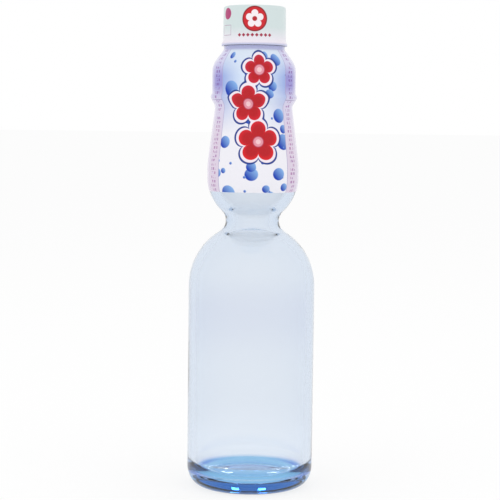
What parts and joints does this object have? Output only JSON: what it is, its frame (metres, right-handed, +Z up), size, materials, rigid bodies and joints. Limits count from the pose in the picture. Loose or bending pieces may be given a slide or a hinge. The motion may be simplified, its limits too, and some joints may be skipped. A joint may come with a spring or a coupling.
{
  "type": "marble stopper bottle",
  "caption": "Glass drink bottle sealed from inside by a glass marble, with a pinched waist, marble chamber, pressed-on plastic mouth, push plunger and printed shrink film.",
  "frame": {"origin": "centre of the base, on the plane that the bottle stands on", "axes": "+Z up along the bottle's axis, -Y towards the printed front"},
  "size_m": [0.058, 0.058, 0.2203],
  "materials": {
    "bottle_glass": "clear pale blue soda-lime glass, moulded and fire polished",
    "marble_glass": "clear glass ball, polished",
    "gasket_rubber": "moulded black rubber",
    "collar_plastic": "white moulded polypropylene",
    "guard_plastic": "white moulded polypropylene",
    "plunger_plastic": "white moulded polypropylene",
    "label_film": "printed glossy shrink film",
    "cap_film": "printed glossy shrink film"
  },
  "bodies": {
    "bottle": {"glass_bottle": "bottle_glass", "gasket": "gasket_rubber", "mouth_collar": "collar_plastic", "label_film": "label_film"},
    "marble": {"marble": "marble_glass"},
    "guard": {"guard_ring": "guard_plastic"},
    "plunger": {"plunger": "plunger_plastic"},
    "film": {"cap_film": "cap_film"}
  },
  "joints": [
    {"name": "marble_drop", "type": "slide", "parent": "bottle", "child": "marble", "axis": [0, 0, -1], "range_m": [0, 0.0722]},
    {"name": "guard_lift", "type": "slide", "parent": "bottle", "child": "guard", "axis": [0, 0, 1], "range_m": [0, 0.03]},
    {"name": "plunger_push", "type": "slide", "parent": "guard", "child": "plunger", "axis": [0, 0, -1], "range_m": [0, 0.00615]},
    {"name": "film_lift", "type": "slide", "parent": "guard", "child": "film", "axis": [0, 0, 1], "range_m": [0, 0.04]}
  ],
  "couplings": [
    {"joint": "plunger_push", "follows": "marble_drop", "ratio": 0.0852}
  ]
}
